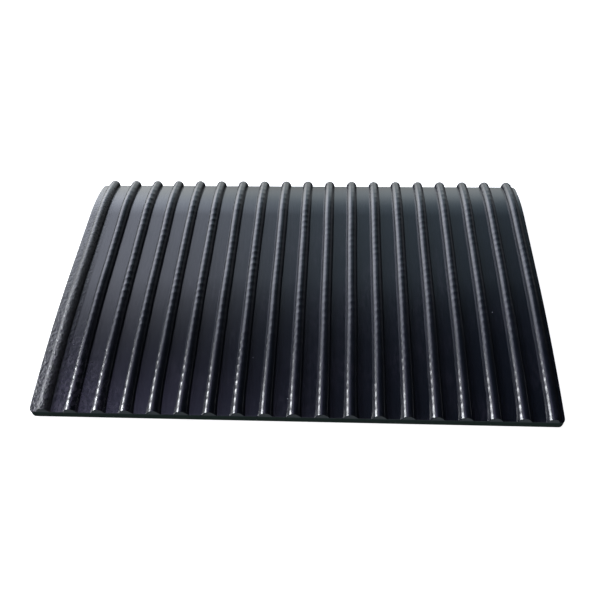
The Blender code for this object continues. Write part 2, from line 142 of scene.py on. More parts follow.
def underside(s):
    """The y, z and slope of the curved underside at each distance s from the front end."""
    front_radius = FRONT_ROLL / FRONT_ANGLE
    back_radius = BACK_ROLL / BACK_ANGLE
    curl = LENGTH - BACK_ROLL
    flat_y = FRONT_Y + front_radius * math.sin(FRONT_ANGLE)
    slope = np.where(s < FRONT_ROLL, FRONT_ANGLE * (1 - s / FRONT_ROLL), 0.0)
    slope = np.where(s > curl, -BACK_ANGLE * (s - curl) / BACK_ROLL, slope)
    radius = np.where(s > curl, back_radius, front_radius)
    straight = np.clip(s, FRONT_ROLL, curl) - FRONT_ROLL
    return flat_y + straight - radius * np.sin(slope), ARCH_RISE - radius * (1 - np.cos(slope)), slope


def bend(points):
    """Flat points (x, s, h) on the curved mat."""
    points = np.asarray(points, float)
    s, h = points[:, 1], points[:, 2]
    y, z, slope = underside(s)
    return np.stack([points[:, 0], y - h * np.sin(slope), z + h * np.cos(slope)], axis=1)


def rib_centres():
    """Each rib's x, from left to right."""
    first = LEFT_MARGIN - WIDTH / 2
    return [first + PITCH * index for index in range(RIB_COUNT)]


# ---------------- making objects

def put_in_scene(name, bm, mesh=None):
    """An object in the scene from faces that are ready."""
    mesh = mesh or bpy.data.meshes.new(name)
    bm.to_mesh(mesh)
    bm.free()
    thing = bpy.data.objects.new(name, mesh)
    bpy.context.scene.collection.objects.link(thing)
    return thing


def new_object(name, points, faces):
    """An object from points on the curved mat, with its faces pointing out."""
    mesh = bpy.data.meshes.new(name)
    mesh.from_pydata([tuple(p) for p in points], [], faces)
    bm = bmesh.new()
    bm.from_mesh(mesh)
    bmesh.ops.recalc_face_normals(bm, faces=bm.faces)
    return put_in_scene(name, bm, mesh)


def laid(name, bm):
    """An object from a flat solid, laid on the mat's curve as it is."""
    bm.verts.ensure_lookup_table()
    for vert, place in zip(bm.verts, bend([vert.co for vert in bm.verts])):
        vert.co = place
    return put_in_scene(name, bm)


def bent(name, bm):
    """An object from a flat solid, cut across many times and then laid on the mat's curve."""
    for step in range(1, BENDS):
        geometry = bm.verts[:] + bm.edges[:] + bm.faces[:]
        bmesh.ops.bisect_plane(bm, geom=geometry, dist=1e-6, plane_co=(0, LENGTH * step / BENDS, 0),
                               plane_no=(0, 1, 0))
    return laid(name, bm)


def bridge(bm, one, other):
    """Four-sided faces between two closed loops of corners."""
    for index in range(len(one)):
        following = (index + 1) % len(one)
        bm.faces.new((one[index], one[following], other[following], other[index]))


def solid(rings, hollow=False):
    """Solid through closed rings of points. A hollow one goes back to its first ring, and has no caps."""
    bm = bmesh.new()
    loops = [[bm.verts.new(point) for point in ring] for ring in rings]
    if hollow:
        loops.append(loops[0])
    else:
        bm.faces.new(loops[0])
        bm.faces.new(loops[-1])
    for one, other in zip(loops, loops[1:]):
        bridge(bm, one, other)
    bmesh.ops.recalc_face_normals(bm, faces=bm.faces)
    return bm


def prism(outline, axis, low, high):
    """An outline carried along an axis from low to high."""
    rings = []
    for level in (low, high):
        rings.append([[*point[:axis], level, *point[axis:]] for point in outline])
    return solid(rings)


def circle(radius, sides):
    """A round outline about zero."""
    turn = 2 * math.pi / sides
    return [(radius * math.cos(turn * side), radius * math.sin(turn * side)) for side in range(sides)]


def rounded(half_a, half_b, corner, steps=6):
    """A rectangular outline about zero with round corners."""
    outline = []
    for quarter, (sign_a, sign_b) in enumerate(((1, 1), (-1, 1), (-1, -1), (1, -1))):
        for step in range(steps + 1):
            angle = math.pi / 2 * (quarter + step / steps)
            a = sign_a * (half_a - corner) + corner * math.cos(angle)
            b = sign_b * (half_b - corner) + corner * math.sin(angle)
            outline.append((a, b))
    return outline


def carve(thing, cutters):
    """Take cutters away from an object for good."""
    for cutter in cutters:
        modifier = thing.modifiers.new(cutter.name, "BOOLEAN")
        modifier.operation = "DIFFERENCE"
        modifier.solver = "MANIFOLD"
        modifier.object = cutter
    settled = bpy.data.meshes.new_from_object(thing.evaluated_get(bpy.context.evaluated_depsgraph_get()))
    thing.modifiers.clear()
    thing.data = settled
    for cutter in cutters:
        bpy.data.objects.remove(cutter)


def soften(thing, width, angle=40):
    """Round a piece's sharp edges."""
    bevel = thing.modifiers.new("soft_edges", "BEVEL")
    bevel.width = width
    bevel.segments = 2
    bevel.limit_method = "ANGLE"
    bevel.angle_limit = math.radians(angle)


def finish_piece(thing, material, node, smooth_angle=35):
    """Shading, material, body and CAD node of a new piece. An edge past the angle stays sharp."""
    thing.data.shade_smooth()
    thing.data.set_sharp_from_angle(angle=math.radians(smooth_angle))
    if material is not None:
        thing.data.materials.clear()
        thing.data.materials.append(material)
    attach(thing, "root")
    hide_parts(node)


# ---------------- the ribbed cover

def quarter_round(distance, radius):
    """How far a surface sinks at this distance from an edge that has this radius."""
    inside = np.clip(radius - distance, 0, radius)
    return radius - np.sqrt(radius ** 2 - inside ** 2)


def cover_columns():
    """The cover's columns at mid length: x, height over the sheet, rib number (or -1), angle on the rib."""
    start = math.asin(FILLET / RIB_HEIGHT)
    reach = RIB_HALF * math.cos(start) + FILLET
    half = WIDTH / 2
    margin = (-half, -half + 0.3 * EDGE, -half + EDGE, -half + 0.0035)
    foot = []
    for turn in (-math.pi / 2, -math.pi / 4):
        foot.append((-reach + FILLET * math.cos(turn), FILLET * (1 + math.sin(turn))))
    columns = [(x, 0.0, -1, 0.0) for x in margin]
    for index, centre in enumerate(rib_centres()):
        columns += [(centre + a, b, index, math.pi) for a, b in foot]
        for step in range(RIB_STEPS + 1):
            angle = math.pi - start - (math.pi - 2 * start) * step / RIB_STEPS
            columns.append((centre + RIB_HALF * math.cos(angle), RIB_HEIGHT * math.sin(angle), index, angle))
        columns += [(centre - a, b, index, 0.0) for a, b in reversed(foot)]
    columns += [(-x, 0.0, -1, 0.0) for x in reversed(margin[:3])]
    return np.array(columns)


def wander(s, random, amounts, lengths):
    """A slow random wander along s: waves of these amounts and rough lengths."""
    total = np.zeros_like(s)
    for amount, length in zip(amounts, lengths):
        turn = 2 * math.pi * s / (length * random.uniform(0.8, 1.25))
        total += amount * np.sin(turn + random.uniform(0, 2 * math.pi))
    return total


def cover_top():
    """The cover's top as a grid of flat points, row by row from the front."""
    x0, rise, rib, angle = cover_columns().T
    count = round((LENGTH - 2 * EDGE) / ROW)
    inner = np.linspace(EDGE, LENGTH - EDGE, count + 1)
    near_end = np.array([0, 0.1, 0.4]) * EDGE  # more rows where the ends are rounded
    rows = np.concatenate([near_end, inner, LENGTH - near_end[::-1]])
    s = np.repeat(rows[:, None], len(x0), axis=1)
    x = np.repeat(x0[None, :], len(rows), axis=0)
    h = np.repeat(rise[None, :], len(rows), axis=0)
    end_gap = np.minimum(rows, LENGTH - rows)
    end_drop = quarter_round(end_gap, EDGE)
    random = np.random.default_rng(7)

    for index, centre in enumerate(rib_centres()):
        mine = rib == index
        shift = wander(rows, random, (0.00010, 0.00005), (0.17, 0.06))
        swell = 0.985 + wander(rows, random, (0.008, 0.006), (0.11, 0.035))
        fading = 0.8 - 0.15 * np.exp(-rows / 0.05)  # fainter by the front
        uneven = 1 + wander(rows, random, (0.45, 0.25), (0.12, 0.05))
        strength = BEAD * BEAD_STRENGTH[index] * fading * uneven
        phase = random.uniform(0, 2 * math.pi) + wander(rows, random, (0.5,), (0.2,))
        around = angle[mine]
        turn = 2 * math.pi * s[:, mine] / BEAD_PITCH + phase[:, None] + BEAD_TWIST * (around - math.pi / 2)
        grip = np.clip(1.5 * rise[mine] / RIB_HEIGHT, 0, 1) ** 1.5
        out = strength[:, None] * (np.cos(turn) + BEAD_POINT * np.cos(2 * turn) - BEAD_SINK) * grip
        offset = x0[mine] - centre
        narrowing = 0.5 * end_drop[:, None] * np.clip(offset / RIB_HALF, -1, 1)
        foot = np.clip(1 - rise[mine] / (0.4 * RIB_HEIGHT), 0, 1)
        spread = 1 + FOOT_SPREAD * np.exp(-rows[:, None] / FOOT_SPREAD_LENGTH) * foot
        width = offset * swell[:, None] * spread
        x[:, mine] = centre + shift[:, None] + width + out * np.cos(around) - narrowing
        h[:, mine] = rise[mine] * swell[:, None] + out * np.sin(around)

    # The plan's round corners squeeze the columns outside the first rib's foot and the last rib's crest
    inset = quarter_round(end_gap, CORNER_RADIUS)[:, None]
    left_foot = x0[rib == 0].min()
    last_crest = rib_centres()[-1]
    for margin, held in ((x0 < left_foot, left_foot), (x0 > last_crest, last_crest)):
        x[:, margin] = held + (x[:, margin] - held) * (1 - inset / (WIDTH / 2 - abs(held)))

    side_drop = quarter_round(WIDTH / 2 - np.abs(x0), EDGE)
    h += SHEET - np.maximum(end_drop[:, None], side_drop[None, :])
    return np.stack([x, s, h], axis=2)


def inward(plan, distance):
    """A closed outline in plan, anticlockwise, moved inwards."""
    along = np.roll(plan, -1, axis=0) - np.roll(plan, 1, axis=0)
    along /= np.linalg.norm(along, axis=1)[:, None]
    return plan + distance * np.stack([-along[:, 1], along[:, 0]], axis=1)


def cover_solid():
    """The cover's outside as one closed solid."""
    top = cover_top()
    rows, columns = top.shape[:2]
    points = [top.reshape(-1, 3)]
    number = np.arange(rows * columns).reshape(rows, columns)
    corners = (number[:-1, :-1], number[:-1, 1:], number[1:, 1:], number[1:, :-1])
    faces = np.stack([corner.ravel() for corner in corners], axis=1).tolist()

    ring = np.concatenate([number[0], number[1:, -1], number[-1, -2::-1], number[-2:0:-1, 0]])
    plan = points[0][ring, :2]
    walls = ((SHEET - 1.5 * EDGE, 0), (FOOT_EDGE, 0), (0.3 * FOOT_EDGE, 0.3 * FOOT_EDGE), (0, FOOT_EDGE))
    total = rows * columns
    for level, inset in walls:
        placed = inward(plan, inset)
        points.append(np.column_stack([placed, np.full(len(ring), level)]))
        following = np.arange(total, total + len(ring))
        faces += np.stack([np.roll(ring, -1), ring, following, np.roll(following, -1)], axis=1).tolist()
        ring = following
        total += len(ring)

    # The underside has one face for each row, and one with many corners at each end
    ring = ring.tolist()
    front, right = ring[:columns], ring[columns - 1:columns + rows - 1]
    back = ring[columns + rows - 2:2 * columns + rows - 2]
    left = ring[:1] + ring[2 * columns + rows - 3:][::-1]
    faces.append([left[1], right[1]] + front[::-1])
    for k in range(1, rows - 2):
        faces.append([left[k + 1], right[k + 1], right[k], left[k]])
    faces.append(back[::-1] + [right[-2], left[-2]])
    return bend(np.concatenate(points)), faces


def half_round(x, base, radius, steps):
    """Points over half a circle, from left to right."""
    turns = [math.pi * (1 - step / steps) for step in range(steps + 1)]
    return [(x + radius * math.cos(turn), base + radius * math.sin(turn)) for turn in turns]


def cavity():
    """The cover's inside, open at the bottom, with a groove for the cord under each rib."""
    side = WIDTH / 2 - RIM
    outline = [(-side, -REACH), (-side, CEILING)]
    for x in rib_centres():
        outline.append((x - GROOVE_RADIUS, CEILING))
        outline += half_round(x, CORD_HIGH, GROOVE_RADIUS, 8)
        outline.append((x + GROOVE_RADIUS, CEILING))
    outline += [(side, CEILING), (side, -REACH)]
    return bent("cavity_cutter", prism(outline, 1, END_WALL, LENGTH - END_WALL))


def make_ribbed_cover(top, cut):
    """Black rubber top, with its beaded ribs, its walls and its cut ends."""
    cover = new_object("ribbed_rubber_cover", *cover_solid())
    hole = rounded(GLAND_HALF[0] + GAP, GLAND_HALF[1] + GAP, GLAND_CORNER + GAP)
    hole = [(INLET_S + a, INNER_H + b) for a, b in hole]
    inlet = bent("inlet_cutter", prism(hole, 0, -WIDTH / 2 - REACH, -WIDTH / 2 + RIM + REACH))
    recess = [(EYELET[0] + a, EYELET[1] + b) for a, b in circle(EYELET_HEAD + 2 * GAP, 24)]
    eyelet_room = bent("eyelet_cutter", prism(recess, 2, CEILING - 2 * GAP, CEILING + 2 * GAP))
    carve(cover, [cavity(), inlet, eyelet_room])

    mesh = cover.data
    mesh.materials.clear()
    mesh.materials.append(top)
    mesh.materials.append(cut)
    count = len(mesh.polygons)
    normals, centres = np.empty(count * 3), np.empty(count * 3)
    mesh.polygons.foreach_get("normal", normals)
    mesh.polygons.foreach_get("center", centres)
    normals, centres = normals.reshape(-1, 3), centres.reshape(-1, 3)
    near_ends = np.abs(centres[:, 1]) > COVER_HIGH.y - 0.012
    end_face = near_ends & (np.abs(normals[:, 1]) > 0.85)
    underneath = normals[:, 2] < -0.5
    mesh.polygons.foreach_set("material_index", (end_face | underneath).astype(np.int32))
    finish_piece(cover, None, "ribbed_cover", smooth_angle=45)
    modifier = cover.modifiers.new("flat_faces_lead", "WEIGHTED_NORMAL")
    modifier.keep_sharp = True


def make_base_cover(material):
    """Flat rubber sheet that closes the underside."""
    side = WIDTH / 2 - RIM - GAP
    front = END_WALL + GAP
    outline = [(-side, front), (side, front), (side, LENGTH - front), (-side, LENGTH - front)]
    sheet = bent("base_rubber_sheet", prism(outline, 2, 0, BASE))
    soften(sheet, 0.0003, 50)
    finish_piece(sheet, material, "base_cover", smooth_angle=40)


# ---------------- what is inside

def notched(side, front, notch_x, notch_s):
    """A rectangular outline with its back left corner left out."""
    back = LENGTH - front
    return [(-side, front), (side, front), (side, back),
            (notch_x, back), (notch_x, notch_s), (-side, notch_s)]


def turned(name, axis, centre, profile, sides=28):
    """A hollow turned piece: a closed profile of (along, radius) round an axis through its centre."""
    rings = []
    for along, radius in profile:
        ring = []
        for a, b in circle(radius, sides):
            point = [a, b]
            point.insert(axis, along)
            ring.append([c + p for c, p in zip(centre, point)])
        rings.append(ring)
    return laid(name, solid(rings, hollow=True))


def tube_rings(path, sides, shape=None):
    """Rings along a flat path of (point, radius); shape changes the radius by distance and angle."""
    points = np.array([point for point, _ in path])
    along = np.gradient(points, axis=0)
    along /= np.linalg.norm(along, axis=1)[:, None]
    across = np.cross(along, (0, 0, 1))
    across /= np.linalg.norm(across, axis=1)[:, None]
    upward = np.cross(across, along)
    travelled = np.concatenate([[0], np.cumsum(np.linalg.norm(np.diff(points, axis=0), axis=1))])
    angles = 2 * math.pi * np.arange(sides) / sides
    radius = np.array([radius for _, radius in path])[:, None] * np.ones(sides)
    if shape is not None:  # on the jacket, and not on the bare core
        radius = radius + shape(travelled[:, None], angles[None, :]) * (radius > CORD_CORE * 1.01)
    return (points[:, None, :] + across[:, None, :] * (radius * np.cos(angles))[:, :, None]
            + upward[:, None, :] * (radius * np.sin(angles))[:, :, None])


def tube_object(name, path, sides, shape=None):
    """A round cord or wire on the mat's curve, and which of its faces are on its two bare ends."""
    rings = tube_rings(path, sides, shape)
    count = len(rings)
    points = bend(rings.reshape(-1, 3))
    faces = []
    for ring in range(count - 1):
        for side in range(sides):
            following = (side + 1) % sides
            low, high = ring * sides, (ring + 1) * sides
            faces.append((low + side, low + following, high + following, high + side))
    faces += [tuple(range(sides)), tuple(range((count - 1) * sides, count * sides))]
    thing = new_object(name, points, faces)
    bare = [face // sides in (0, count - 2) or face >= (count - 1) * sides for face in range(len(faces))]
    return thing, bare


def two_materials(thing, bare, covered, core):
    """The core's material on the bare ends, and the other on the rest."""
    thing.data.materials.append(covered)
    thing.data.materials.append(core)
    thing.data.polygons.foreach_set("material_index", np.array(bare, np.int32))


def even(points, step):
    """Points at even steps along a flat path."""
    points = np.array(points, float)
    gaps = np.linalg.norm(np.diff(points, axis=0), axis=1)
    travelled = np.concatenate([[0], np.cumsum(gaps)])
    places = np.linspace(0, travelled[-1], max(2, round(travelled[-1] / step) + 1))
    return np.stack([np.interp(places, travelled, points[:, axis]) for axis in range(3)], axis=1)


def smooth(points, samples):
    """A smooth curve through a route's points, with this many samples to each stretch."""
    points = [np.array(point, float) for point in points]
    route = [2 * points[0] - points[1]] + points + [2 * points[-1] - points[-2]]
    curve = []
    for a, b, c, d in zip(route, route[1:], route[2:], route[3:]):
        for sample in range(samples):
            t = sample / samples
            curve.append(0.5 * (2 * b + (c - a) * t + (2 * a - 5 * b + 4 * c - d) * t ** 2
                                + (3 * b - a - 3 * c + d) * t ** 3))
    curve.append(route[-2])
    return curve


def heating_path():
    """Centre line of the heating cord, flat: up and down under the ribs, with half turns between."""
    centre = []
    dive_steps, turn_steps = 12, 20
    for index, x in enumerate(rib_centres()):
        to_front = index % 2 == 0
        rise = []
        for step in range(dive_steps + 1):
            share = step / dive_steps
            lift = (1 - math.cos(math.pi * share)) / 2
            rise.append((TURN + (DIVE - TURN) * share, CORD_LOW + (CORD_HIGH - CORD_LOW) * lift))
        run = [(x, s, h) for s, h in rise] + [(x, LENGTH - s, h) for s, h in reversed(rise)]
        centre += reversed(run) if to_front else run
        if index < RIB_COUNT - 1:
            for step in range(1, turn_steps):
                angle = math.pi * (1 - step / turn_steps)
                reach = TURN - PITCH / 2 * math.sin(angle)
                centre.append((x + PITCH / 2 * (1 + math.cos(angle)), reach if to_front else LENGTH - reach,
                               CORD_LOW))
    return centre


def make_heating_cord(jacket, core):
    """Silicone cord whose wound element shows as a slight screw-like ridge."""
    centre = even(heating_path(), CORD_STEP)
    first, last = centre[0], centre[-1]
    bare = np.array((0, STRIPPED, 0))
    path = [(first + bare, CORD_CORE), (first, CORD_CORE)] + [(point, CORD_RADIUS) for point in centre]
    path += [(last, CORD_CORE), (last - bare, CORD_CORE)]

    def winding(travelled, angle):
        return -WINDING * (1 + np.cos(2 * math.pi * travelled / BEAD_PITCH - angle))

    cord, ends = tube_object("wound_heating_cord", path, 10, winding)
    two_materials(cord, ends, jacket, core)
    finish_piece(cord, None, "heating_cord", smooth_angle=60)


def make_lead(name, node, route, insulation, copper, stripe=None):
    """Insulated wire through a route of (x, s), with a bare core past each end."""
    route = [np.array((x, s, INNER_H)) for x, s in route]
    out = route[0] - route[1]
    start = route[0] + out / np.linalg.norm(out) * STRIPPED
    out = route[-1] - route[-2]
    finish = route[-1] + out / np.linalg.norm(out) * STRIPPED
    path = [(start, LEAD_CORE), (route[0], LEAD_CORE)]
    path += [(point, LEAD_RADIUS) for point in even(smooth(route, 12), CORD_STEP)]
    path += [(route[-1], LEAD_CORE), (finish, LEAD_CORE)]
    sides = 12
    wire, ends = tube_object(name, path, sides)
    two_materials(wire, ends, insulation, copper)
    if stripe is not None:
        wire.data.materials.append(stripe)
        for index, face in enumerate(wire.data.polygons):
            if not ends[index] and index % sides in (1, 2, 3):
                face.material_index = 2
    finish_piece(wire, None, node, smooth_angle=60)


def make_leads(brown, blue, green, yellow, copper):
    """The four wires between the junction box, the cut-out, the foil and the cord's two ends."""
    start_x, end_x = rib_centres()[0], rib_centres()[-1]
    line, neutral, earth = INLET_S, INLET_S - CRIMP_SPACING, INLET_S + CRIMP_SPACING
    crimp_end = CRIMP_RIGHT + 0.001
    box_outside = BOX_RIGHT + 0.0005
    cutout_reach = CUTOUT_HALF[0] + GAP + STRIPPED
    from_joint = 2 * (STRIPPED + 2 * GAP)
    back = LENGTH - TURN + from_joint
    front = TURN - from_joint
    route = [(crimp_end, line), (box_outside, line), (CUTOUT_X - cutout_reach, line)]
    make_lead("brown_line_wire", "line_lead", route, brown, copper)
    route = [(CUTOUT_X + cutout_reach, INLET_S), (-0.1615, INLET_S), (-0.1575, 0.2485), (-0.1565, 0.257),
             (-0.163, 0.267), (-0.180, 0.275), (-0.205, 0.280), (-0.221, 0.289), (-0.2265, 0.304),
             (start_x + 0.0120, back), (start_x + 0.0085, back + 0.0068), (start_x + 0.0038, back + 0.0070),
             (start_x, back + 0.0025), (start_x, back)]
    make_lead("brown_cutout_wire", "cutout_lead", route, brown, copper)
    route = [(crimp_end, earth), (box_outside, earth), (-0.2005, 0.2558), (-0.1965, 0.2590)]
    make_lead("green_earth_wire", "earth_lead", route, green, copper, yellow)
    under_ribs = 0.047
    left_edge = -0.2437
    route = [(end_x, front), (end_x, front - 0.0025), (end_x - 0.0026, front - 0.0070),
             (end_x - 0.0072, front - 0.0066), (end_x - 0.0105, 0.0190), (end_x - 0.0125, 0.033),
             (0.2190, 0.0455), (0.2000, under_ribs), (0.1000, under_ribs), (0.0, under_ribs),
             (-0.1000, under_ribs), (-0.2200, under_ribs), (-0.2380, 0.049), (-0.2435, 0.060),
             (left_edge, 0.090), (left_edge, 0.135), (left_edge, 0.195), (-0.2405, 0.211),
             (-0.2250, 0.2195), (-0.2050, 0.2215), (-0.1955, 0.2255), (-0.1945, 0.2325),
             (-0.1990, 0.2363), (box_outside, neutral), (crimp_end, neutral)]
    make_lead("blue_neutral_wire", "neutral_lead", route, blue, copper)


def barrel_profile(half, radius, bore, dent):
    """A crimped barrel: chamfered ends and two pressed dents."""
    edge = 0.00015
    right = [(0.24 * half, radius), (0.36 * half, radius - dent), (0.50 * half, radius - dent),
             (0.62 * half, radius), (half - edge, radius), (half, radius - edge)]
    left = [(-along, out) for along, out in reversed(right)]
    return left + right + [(half, bore), (-half, bore)]


def make_joints(tin, shrink):
    """The crimp and shrink sleeve at each end of the heating cord."""
    ribs = rib_centres()
    half = STRIPPED + JOINT_OVERLAP
    wall = 0.0003
    # The sleeve's bore, as (share of its half length, radius), from the cord past the barrel to the lead
    shape = [(-1, 0.0023), (-0.72, 0.0023), (-0.55, 0.0017),
             (0.62, 0.0016), (0.78, 0.00125), (1, 0.00120)]
    profile = barrel_profile(STRIPPED - GAP, 0.0013, CORD_CORE + GAP, 0.0001)
    ends = (("cord_start", ribs[0], LENGTH - TURN, 1), ("cord_end", ribs[-1], TURN, -1))
    for name, x, mouth, outward in ends:
        centre = (x, mouth + outward * (STRIPPED + 2 * GAP), CORD_LOW)
        crimp = turned(name + "_barrel", 1, centre, profile)
        finish_piece(crimp, tin, name + "_crimp")
        inside = [(outward * share * half, radius) for share, radius in shape]
        outside = [(along, radius + wall) for along, radius in inside]
        sleeve = turned(name + "_shrink", 1, centre, outside + inside[::-1])
        finish_piece(sleeve, shrink, name + "_sleeve", smooth_angle=60)


def make_crimps(tin):
    """The barrels that take the supply cord's three conductors."""
    profile = barrel_profile((CRIMP_RIGHT - CRIMP_LEFT) / 2, 0.00125, 0.00075, 0.00015)
    for place, name in enumerate(("neutral_crimp", "line_crimp", "earth_crimp"), -1):
        centre = ((CRIMP_LEFT + CRIMP_RIGHT) / 2, INLET_S + place * CRIMP_SPACING, INNER_H)
        finish_piece(turned(name + "_barrel", 0, centre, profile), tin, name)


def make_cutout(steel, film):
    """Thermal cut-out: a flat capsule in a film sleeve."""
    half_x, half_s, half_h = CUTOUT_HALF
    corner = 0.0008
    section = [(a + INLET_S, b + INNER_H) for a, b in rounded(half_s, half_h, corner)]
    capsule = laid("cutout_capsule", prism(section, 0, CUTOUT_X - half_x, CUTOUT_X + half_x))
    soften(capsule, 0.0003)
    finish_piece(capsule, steel, "thermal_cutout")
    rings = []
    reach = half_x + 0.003
    for along, grow in ((-reach, 2 * GAP), (reach, 2 * GAP), (reach, GAP), (-reach, GAP)):
        outline = rounded(half_s + grow, half_h + grow, corner + grow)
        rings.append([(CUTOUT_X + along, INLET_S + a, INNER_H + b) for a, b in outline])
    finish_piece(laid("cutout_film", solid(rings, hollow=True)), film, "cutout_sleeve")


def make_earth_connection(tin, brass):
    """Ring tongue under the foil, and the eyelet through both."""
    centre = (*EYELET, 0)
    sides = 40
    edge, round_edge = 0.0001, 0.0002
    low, high, hole, radius = 0.0060, FOAM_TOP, 0.0018, 0.0036
    profile = [(low, hole), (low, radius - round_edge), (low + edge, radius),
               (high - edge, radius), (high, radius - round_edge), (high, hole)]
    tongue = turned("earth_ring_tongue", 2, centre, profile, sides)
    finish_piece(tongue, tin, "earth_ring_terminal")
    low, flange, bore, shank = 0.0053, 0.0057, 0.0009, 0.0015
    head = FOAM_TOP + GAP + FOIL + GAP / 3
    top = CEILING + GAP
    profile = [(low, bore), (low, EYELET_HEAD - round_edge), (low + edge, EYELET_HEAD),
               (flange - edge, EYELET_HEAD), (flange, EYELET_HEAD - round_edge), (flange, shank),
               (head, shank), (head, EYELET_HEAD - round_edge), (head + edge, EYELET_HEAD),
               (top - round_edge, EYELET_HEAD - edge), (top, EYELET_HEAD - 0.0005), (top, bore + 0.0003),
               (top - round_edge, bore)]
    eyelet = turned("brass_eyelet", 2, centre, profile, sides)
    finish_piece(eyelet, brass, "earth_eyelet")


def make_cord_gland(material):
    """Bush in the left wall, flush outside, with a flange inside."""
    flange_start = RIM + GAP
    flange_end = flange_start + 0.002
    # Half widths along s and h, and the corner's radius
    body = (*GLAND_HALF, GLAND_CORNER)
    flange = (0.0082, GLAND_HALF[1], GLAND_CORNER)
    bore = (0.0037, 0.0018, 0.0016)
    edge, fine = 0.0003, 0.0001
    steps = ((0, body, -edge), (fine, body, -fine), (edge, body, 0), (flange_start, body, 0),
             (flange_start, flange, 0), (flange_end - edge, flange, 0), (flange_end, flange, -edge),
             (flange_end, bore, 2 * fine), (flange_end - edge, bore, 0), (5 * fine, bore, 0),
             (fine, bore, 2 * fine), (0, bore, 5 * fine))
    rings = []
    for along, (half_a, half_b, corner), grow in steps:
        outline = rounded(half_a + grow, half_b + grow, corner + grow)
        rings.append([(along - WIDTH / 2, INLET_S + a, INNER_H + b) for a, b in outline])
    finish_piece(laid("supply_cord_gland", solid(rings, hollow=True)), material, "cord_gland")


def block(low, high):
    """A box between two corners."""
    outline = [(low[0], low[1]), (high[0], low[1]), (high[0], high[1]), (low[0], high[1])]
    return prism(outline, 2, low[2], high[2])


def make_junction_box(nylon):
    """Flat moulded tray and lid round the three crimps."""
    front, back = INLET_S - BOX_HALF, INLET_S + BOX_HALF
    bottom = BASE + GAP
    wall = 0.0012
    tray = laid("nylon_box_tray", block((BOX_LEFT, front, bottom), (BOX_RIGHT, back, BOX_TOP)))
    floor = bottom + 0.001
    cutters = [block((BOX_LEFT + wall, front + wall, floor),
                     (BOX_RIGHT - wall, back - wall, BOX_TOP + REACH))]
    half = LEAD_RADIUS + GAP
    for offset in (-CRIMP_SPACING, 0, CRIMP_SPACING):
        cutters.append(block((BOX_RIGHT - wall - GAP, INLET_S + offset - half, INNER_H - half),
                             (BOX_RIGHT + REACH, INLET_S + offset + half, BOX_TOP + REACH)))
    mouth_half, mouth_low = 0.0037, 0.0031
    cutters.append(block((BOX_LEFT - REACH, INLET_S - mouth_half, mouth_low),
                         (BOX_LEFT + wall + GAP, INLET_S + mouth_half, BOX_TOP + REACH)))
    carve(tray, [laid("box_cutter_%d" % index, cutter) for index, cutter in enumerate(cutters)])
    edge = 0.00015
    soften(tray, edge)
    finish_piece(tray, nylon, "junction_housing")
    lid_low = BOX_TOP + GAP
    lid_high = lid_low + 0.0008
    lid = laid("nylon_box_lid", block((BOX_LEFT, front, lid_low), (BOX_RIGHT, back, lid_high)))
    soften(lid, edge)
    finish_piece(lid, nylon, "junction_lid")


def make_core(foam_material, foil_material):
    """Foam slab with foil on it, both cut out round the junction box."""
    outline = notched(FOAM_SIDE, FOAM_END, POCKET_RIGHT, POCKET_FRONT)
    foam = bent("foam_slab", prism(outline, 2, BASE + GAP, FOAM_TOP))
    soften(foam, 0.0005, 60)
    finish_piece(foam, foam_material, "insulation_core", smooth_angle=50)
    outline = notched(FOAM_SIDE - FOIL_INSET, FOAM_END + FOIL_INSET, BOX_RIGHT + FOIL_INSET,
                      INLET_S - BOX_HALF - 2 * FOIL_INSET)
    low = FOAM_TOP + GAP
    foil = bent("aluminium_foil", prism(outline, 2, low, low + FOIL))
    hole = [(a + EYELET[0], b + EYELET[1]) for a, b in circle(0.0018, 24)]
    carve(foil, [laid("foil_hole_cutter", prism(hole, 2, low - REACH, low + REACH))])
    finish_piece(foil, foil_material, "heat_spreader_foil", smooth_angle=30)


# ---------------- materials

